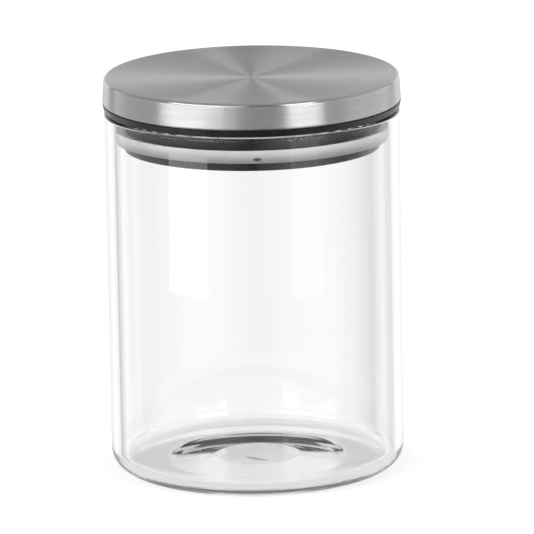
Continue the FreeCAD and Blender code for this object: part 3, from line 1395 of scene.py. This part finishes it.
@dataclass
class Seal:
    """The silicone ring in the plug's groove.

    Attributes:
        inner: Inside of the ring.
        plug: Plug wall that the lip stands off from.
        outer: Outside of its face against the jar.
        z_foot: Underside of the ring.
        z_top: Edge of the lip.
        lip: Lip above the part that sits in the groove.
        lean: Radius that the face loses towards its foot.
        lip_lean: Radius that it loses towards its lip.
        gate_width: Width of the gate mark.
        gate_tall: Height of the gate mark.
        gate_deep: Depth of the gate mark.
        gate_rise: Gate mark above the underside of the ring.
        gate_turn: Place of the gate mark round the axis.
        segments: Flats round the axis, fine enough for the mark.
        spacing: Largest distance between points of its outline, for the same reason.
    """

    inner: float
    plug: float
    outer: float
    z_foot: float
    z_top: float
    lip: float = 0.7 * MM
    lean: float = 0.55 * MM
    lip_lean: float = 0.12 * MM
    gate_width: float = 3.2 * MM
    gate_tall: float = 1.4 * MM
    gate_deep: float = 0.25 * MM
    gate_rise: float = 1.3 * MM
    gate_turn: float = math.radians(-88.2)
    segments: int = 720
    spacing: float = 0.3 * MM

    @classmethod
    def from_frame(cls, core: Core, gap: float = 0.06 * MM) -> "Seal":
        """A seal of the CAD node's size.

        Args:
            core: Core whose groove holds it.
            gap: Ring to the bottom of the groove.

        Returns:
            The seal.
        """
        low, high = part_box("seal_ring")
        return cls(core.groove_radius + gap, core.plug, outer=high.x, z_foot=low.z, z_top=high.z)

    def outline(self) -> Outline:
        """Half section of the ring."""
        bow = ((math.sqrt(self.lean) + math.sqrt(self.lip_lean)) / 2) ** 2
        z_body = self.z_top - self.lip
        return Outline((
            Corner(self.inner, self.z_foot),
            Corner(self.outer - self.lean, self.z_foot, bow=-bow),
            Corner(self.outer - self.lip_lean, self.z_top),
            Corner(self.plug, z_body),
            Corner(self.inner, z_body),
        ), ring=True, spacing=self.spacing)

    def build(self, shop: Workshop) -> None:
        """Builds and dresses the seal.

        Args:
            shop: Shared trees and groups.
        """
        finish = SoftSilicone(mark=MarkingTree.ATTRIBUTE, z_foot=self.z_foot, z_top=self.z_top)
        silicone = finish.build(shop.effects)
        ring = shop.turning.piece("seal_band", self.outline(), silicone, self.segments)
        spot = Vector((math.cos(self.gate_turn), math.sin(self.gate_turn), 0)) * self.outer
        spot.z = self.z_foot + self.gate_rise
        shop.marking.shape(ring, {
            "Place": spot,
            "Half Width": self.gate_width / 2,
            "Half Height": self.gate_tall / 2,
            "Depth": self.gate_deep,
            "Material": silicone,
        })
        shop.place(ring, "seal_ring", Body.SEAL, Slot.SILICONE)


@dataclass(frozen=True)
class Softbox:
    """A rectangular soft light.

    Attributes:
        name: Name of the lamp.
        first: Its left edge, in degrees round from the camera's side to the right.
        last: Its right edge.
        radiance: Brightness of its face, where 1 is white.
        mirrored: The same in reflections, where the table's sheen does the rest.
        distance: Distance from the axis of the jar.
        height: Height of its middle.
        mirrored_height: The same for the lamp that shows in reflections.
        tall: Its height from edge to edge.
    """

    name: str
    first: float
    last: float
    radiance: float
    mirrored: float
    distance: float = 1.1
    height: float = 0.5
    mirrored_height: float = 1.0
    tall: float = 0.36

    def build(self, aim: Vector) -> None:
        """Hangs the lamp, as one for matt surfaces and one for reflections.

        Args:
            aim: Point that it faces.
        """
        matt = self.hang(self.name, self.radiance, self.height, aim)
        matt.visible_glossy = False
        bright = self.hang(f"{self.name}_mirrored", self.mirrored, self.mirrored_height, aim)
        bright.visible_diffuse = bright.visible_transmission = False

    def hang(self, name: str, radiance: float, height: float, aim: Vector) -> bpy.types.Object:
        """Hangs one lamp.

        Args:
            name: Name of the lamp.
            radiance: Brightness of its face.
            height: Height of its middle.
            aim: Point that it faces.

        Returns:
            The lamp.
        """
        lamp = bpy.data.lights.new(name, "AREA")
        lamp.shape = "RECTANGLE"
        lamp.size = 2 * self.distance * math.tan(math.radians(self.last - self.first) / 2)
        lamp.size_y = self.tall
        lamp.energy = radiance * math.pi * lamp.size * lamp.size_y
        hung = linked(name, lamp)
        hung.location = around_axis((self.first + self.last) / 2, self.distance, height)
        hung.rotation_euler = (aim - hung.location).to_track_quat("-Z", "Y").to_euler()
        return hung


@dataclass(frozen=True)
class Sheen:
    """The reflection of a lamp in the glossy table, which only shows in other reflections.

    Attributes:
        name: Name of the patch.
        first: Its left edge, in degrees round from the camera's side to the right.
        last: Its right edge.
        near: Its nearer edge, from the axis of the jar.
        far: Its further edge.
        level: Brightness, where 1 is white.
        steps: Flats from edge to edge.
    """

    name: str
    first: float
    last: float
    near: float
    far: float
    level: float
    steps: int = 16

    def build(self) -> None:
        """Lays the patch on the table."""
        wide = self.last - self.first
        turns = [self.first + wide * step / self.steps for step in range(self.steps + 1)]
        spots = [around_axis(turn, distance, 0) for turn in turns for distance in (self.near, self.far)]
        flats = [(start, start + 1, start + 3, start + 2) for start in range(0, 2 * self.steps, 2)]
        mesh = bpy.data.meshes.new(self.name)
        mesh.from_pydata(spots, [], flats)
        patch = linked(self.name, mesh)
        for rays in ("camera", "diffuse", "transmission", "shadow"):
            setattr(patch, f"visible_{rays}", False)
        material, w, _ = new_material(self.name)
        mesh.materials.append(material)
        glow = w.add("ShaderNodeEmission", {"Strength": self.level})
        w.fill(material.node_tree.nodes["Material Output"], {"Surface": glow.outputs[0]})


@dataclass
class Studio:
    """Floor, surroundings, lamps and camera.

    Attributes:
        floor_half: Half the width of the floor.
        floor_drop: Floor below the foot of the jar.
        floor_colour: Grey of the floor.
        floor_level: Own light of the floor under the middle of the jar, kept below open_level as painted
            shadow.
        floor_ring: Distances from the axis between which that light falls off.
        painted_shadow_level: Own light of the floor under the wall, lower still as painted shadow.
        floor_clear: Distances from the axis between which the floor loses most of its shadow.
        floor_edge: Distance from which glass and metal show the surroundings in place of the floor.
        open_colour: Grey of the floor further out, where it keeps little shadow.
        open_level: Own light of the floor further out.
        painted_shade_in_reflections: Painted shade, one fixed level of the floor under the jar in
            reflections, which show no real shadow.
        cards: Level of the surroundings in reflections, by degrees to the right of the camera's side.
        floor_share: Share of that level on the table, in the same way.
        glass_share: The same for light that has run inside the glass, below the horizon.
        gap: Share of the dark gap between the lamps, in the same way.
        backdrop: Level of the backdrop through the glass, in the same way.
        rise: Level of the surroundings by the sine of their height.
        glass_rise: The same for light that has run inside the glass.
        gap_rise: The same in the gap between the lamps.
        table_edge: Sines of the height between which the edge of the table fades.
        horizon: Sines of the height between which it fades for light that has run inside the glass.
        elevation: Camera above the horizon, in degrees.
        distance: Camera to the target.
        roll: Turn of the picture to the left, in degrees.
        target_height: Height of the target on the axis.
        target_pixel: Place of the target in the photograph.
        focal_pixels: Focal length in pixels of the photograph.
        picture: Width and height of the photograph in pixels.
        sensor: Width of the camera's sensor in millimetres.
        view_end: Distance that the camera sees to.
        bounces: Bounces of a ray in all.
        inner_bounces: Bounces of one kind, enough for the base of the jar.
        lamps: The lamps.
        sheens: Their reflections in the table.
    """

    floor_half: float = 6.0
    floor_drop: float = 0.15 * MM
    floor_colour: float = 0.8
    floor_level: float = 0.785
    floor_ring: Span = (30 * MM, 46 * MM)
    painted_shadow_level: float = 0.54
    floor_clear: Span = (50 * MM, 66 * MM)
    floor_edge: float = 53 * MM
    open_colour: float = 0.2
    open_level: float = 1.0
    painted_shade_in_reflections: float = 0.75
    cards: Levels = (
        (-180, 0.87), (-172, 0.89), (-166, 0.87), (-159, 0.98), (-153, 1.07), (-148, 1.05), (-145, 0.93),
        (-143, 0.5), (-135, 0.5), (-131, 1.0), (-126, 0.95), (-117, 0.68), (-95, 0.62), (-60, 0.75),
        (0, 0.9), (25, 0.9), (60, 0.8), (75, 0.72), (84, 0.88), (110, 0.86), (122, 1.0), (131, 1.0),
        (135, 0.7), (142, 0.7), (145, 0.91), (150, 1.05), (162, 1.05), (168, 0.93), (174, 0.86), (180, 0.87),
    )
    floor_share: Levels = (
        (-180, 1.0), (-95, 1.0), (-70, 0.6), (-45, 0.28), (-12, 0.28), (-3, 0.2), (22, 0.2), (30, 0.28),
        (45, 0.28), (70, 0.6), (95, 1.0), (180, 1.0),
    )
    glass_share: Levels = (
        (-180, 1.0), (-95, 1.0), (-60, 1.0), (-30, 0.6), (0, 0.15), (30, 1.2), (60, 1.4), (80, 0.4),
        (98, 0.4), (110, 1.0), (180, 1.0),
    )
    gap: Levels = ((-180, 0.0), (-14, 0.0), (-4, 1.0), (22, 1.0), (30, 0.0), (180, 0.0))
    backdrop: Levels = (
        (-180, 1.0), (-175.7, 1.0), (-174.2, 0.94), (-173.5, 0.89), (-172.5, 0.95), (-171.7, 1.0),
        (-163, 1.0), (-158, 0.92), (-152, 0.68), (-145, 0.7), (-126, 1.0), (126, 1.0), (145, 0.64),
        (152, 0.59), (159, 0.69), (164.5, 0.78), (167, 0.89), (169.1, 0.9), (170.4, 0.82), (171.6, 0.67),
        (172.6, 0.75), (173.4, 0.85), (174.5, 0.91), (176.2, 1.0), (180, 1.0),
    )
    rise: Levels = ((0.03, 0.92), (0.12, 0.82), (0.22, 0.72), (0.42, 0.62), (0.87, 0.5))
    glass_rise: Levels = (
        (0.03, 1.0), (0.1, 1.1), (0.18, 0.9), (0.235, 0.1), (0.3, 0.1), (0.42, 0.3), (0.5, 0.42),
        (0.62, 0.26), (0.74, 0.3), (0.8, 0.9), (0.82, 0.9), (0.85, 0.15), (0.9, 0.06),
    )
    gap_rise: Levels = ((-0.17, 0.2), (-0.13, 2.5), (-0.04, 2.5), (0.02, 0.22), (0.5, 0.2), (0.75, 0.3))
    table_edge: Span = (-0.2, -0.17)
    horizon: Span = (-0.02, 0.02)
    elevation: float = 13.357
    distance: float = 2.225
    roll: float = 1.01
    target_height: float = 66 * MM
    target_pixel: Span = (254.71, 272.32)
    focal_pixels: float = 6620.9
    picture: int = 534
    sensor: float = 36.0
    view_end: float = 100.0
    bounces: int = 40
    inner_bounces: int = 36
    lamps: tuple[Softbox, ...] = (
        Softbox("softbox_wide", -74, -22, 4.9, 3.4),
        Softbox("softbox_fade", -22, -12, 1.5, 1.4),
        Softbox("softbox_edge", -12, -3, 0.8, 0.8),
        Softbox("softbox_narrow", 27, 55, 6.1, 4.0),
    )
    sheens: tuple[Sheen, ...] = (
        Sheen("sheen_wide", -66, -34, 0.33, 0.575, 3.0),
        Sheen("sheen_narrow", 28, 51, 0.33, 0.64, 1.0),
        Sheen("sheen_far_wide", -74, -22, 0.68, 4.0, 4.7),
        Sheen("sheen_far_fade", -22, -12, 0.68, 4.0, 2.2),
        Sheen("sheen_far_narrow", 27, 55, 0.68, 4.0, 6.2),
    )

    def build(self) -> None:
        """Builds the whole studio."""
        self.build_floor()
        self.build_world()
        self.build_camera()
        for lamp in self.lamps:
            lamp.build(self.target)
        for sheen in self.sheens:
            sheen.build()
        scene = bpy.context.scene
        scene.view_settings.view_transform = "Standard"
        scene.cycles.max_bounces = self.bounces
        scene.cycles.transmission_bounces = self.inner_bounces
        scene.cycles.glossy_bounces = self.inner_bounces

    @property
    def target(self) -> Vector:
        """Point that camera and lamps face."""
        return Vector((0, 0, self.target_height))

    @staticmethod
    def mirrored(w: Wiring) -> Socket:
        """A factor that is 1 for rays that a reflection has sent on their way."""
        return w.sums("GREATER_THAN", w.add("ShaderNodeLightPath").outputs["Glossy Depth"], 0.5)

    @staticmethod
    def levels(w: Wiring, turn: Socket, stops: Levels) -> Socket:
        """Brightness round the axis.

        Args:
            w: Wiring of the tree.
            turn: Turn round the axis from the back, 0 to 1, with the camera's side at a half.
            stops: Degrees to the right of the camera's side, and the level there.

        Returns:
            The level.
        """
        return w.stops(turn, tuple((degrees / 360 + 0.5, level) for degrees, level in stops))

    def build_floor(self) -> None:
        """Pale floor, white to the camera and through glass, with the object's shadow on it, partly real and
        partly painted by lower own light near the jar.
        """
        half = self.floor_half
        corners = [(-half, -half), (half, -half), (half, half), (-half, half)]
        mesh = bpy.data.meshes.new("floor")
        mesh.from_pydata([(x, y, -self.floor_drop) for x, y in corners], [], [(0, 1, 2, 3)])
        linked("floor", mesh)
        material, w, bsdf = new_material("pale_floor")
        mesh.materials.append(material)
        place = w.place()
        path = w.add("ShaderNodeLightPath").outputs
        mirrored = self.mirrored(w)
        far = w.length(place["X"], place["Y"])
        clear_of_jar = w.ramp(far, self.floor_clear, 0.0, 1.0)
        # painted shadow: the floor's own light falls under the jar and is lowest under its wall
        under = w.ramp(far, self.floor_ring, self.floor_level, self.painted_shadow_level)
        # painted shade: reflections see the floor at one fixed lower level in place of its shadow
        own = w.mix(mirrored, w.mix(clear_of_jar, under, self.open_level), self.painted_shade_in_reflections)
        bare = w.mix(clear_of_jar, self.floor_colour, self.open_colour)
        colour = w.times(bare, w.inverse(mirrored))
        w.fill(bsdf, {
            "Base Color": w.grey(w.mix(path["Is Diffuse Ray"], colour, self.floor_colour)),
            "Roughness": 1.0,
            "Specular IOR Level": 0.0,
            "Emission Color": rgba((1.0, 1.0, 1.0)),
            "Emission Strength": w.times(own, w.inverse(path["Is Diffuse Ray"])),
        })
        below = w.add("ShaderNodeNewGeometry").outputs["Backfacing"]
        bounced = w.sums("MAXIMUM", path["Is Glossy Ray"], path["Is Transmission Ray"])
        beyond = w.times(bounced, w.sums("GREATER_THAN", far, self.floor_edge))
        clear = w.add("ShaderNodeBsdfTransparent").outputs[0]
        feeds = {0: w.sums("MAXIMUM", below, beyond), 1: bsdf.outputs[0], 2: clear}
        mixed = w.add("ShaderNodeMixShader", feeds)
        w.fill(material.node_tree.nodes["Material Output"], {"Surface": mixed.outputs[0]})

    def build_world(self) -> None:
        """Plain surroundings: white low down and behind, greyer overhead and on the camera's side."""
        world = bpy.data.worlds.new("studio")
        bpy.context.scene.world = world
        world.use_nodes = True
        w = Wiring(world.node_tree)
        parts = w.parts(w.add("ShaderNodeTexCoord").outputs["Generated"])
        sine = parts["Z"]
        path = w.add("ShaderNodeLightPath").outputs
        mirrored = self.mirrored(w)
        angle = w.sums("ARCTAN2", parts["X"], w.times(parts["Y"], -1.0))
        turn = w.sums("MULTIPLY_ADD", angle, 1 / math.tau, 0.5)
        lift = -self.gap_rise[0][0]
        raised = tuple((place + lift, level) for place, level in self.gap_rise)
        in_gap = w.stops(w.sums("ADD", sine, lift), raised)
        rise = w.mix(self.levels(w, turn, self.gap), w.stops(sine, self.rise), in_gap)
        plain = w.ramp(sine, self.table_edge, self.levels(w, turn, self.floor_share), rise)
        glass_rise = w.stops(sine, self.glass_rise)
        inner = w.ramp(sine, self.horizon, self.levels(w, turn, self.glass_share), glass_rise)
        height = w.mix(w.times(path["Is Transmission Ray"], mirrored), plain, inner)
        shade = w.times(height, self.levels(w, turn, self.cards))
        behind = w.mix(path["Is Camera Ray"], self.levels(w, turn, self.backdrop), 1.0)
        direct = w.sums("MAXIMUM", path["Is Camera Ray"], path["Is Transmission Ray"])
        seen = w.times(direct, w.inverse(mirrored))
        w.fill(world.node_tree.nodes["Background"], {"Color": w.grey(w.mix(seen, shade, behind))})

    def build_camera(self) -> None:
        """Camera at the photograph's place, aimed so that the target falls on its pixel."""
        data = bpy.data.cameras.new("camera")
        data.sensor_width = self.sensor
        data.lens = self.focal_pixels / self.picture * self.sensor
        data.clip_end = self.view_end
        camera = linked("camera", data)
        rise = math.radians(self.elevation)
        back = Vector((0, -math.cos(rise), math.sin(rise)))
        right, down = ((pixel - self.picture / 2) / self.focal_pixels for pixel in self.target_pixel)
        place = Matrix.Translation(self.target + back * self.distance)
        facing = (-back).to_track_quat("-Z", "Y").to_matrix().to_4x4()
        rolled = Matrix.Rotation(-math.radians(self.roll), 4, "Z")
        yaw = Matrix.Rotation(math.atan(right), 4, "Y")
        pitch = Matrix.Rotation(math.atan(down), 4, "X")
        camera.matrix_world = place @ facing @ rolled @ yaw @ pitch
        bpy.context.scene.camera = camera


def main() -> None:
    """Builds the canister and its studio, and reports the pieces."""
    logging.basicConfig(level=logging.INFO, format="%(name)s: %(message)s")
    shop = Workshop()
    jar = Jar.from_frame()
    cap = Cap.from_frame()
    core = Core.from_frame(jar, cap)
    for assembly in (jar, cap, core, Seal.from_frame(core)):
        assembly.build(shop)
    Studio().build()
    log.info("%d pieces stand for the CAD nodes", len(shop.made))


if __name__ == "__main__":
    main()
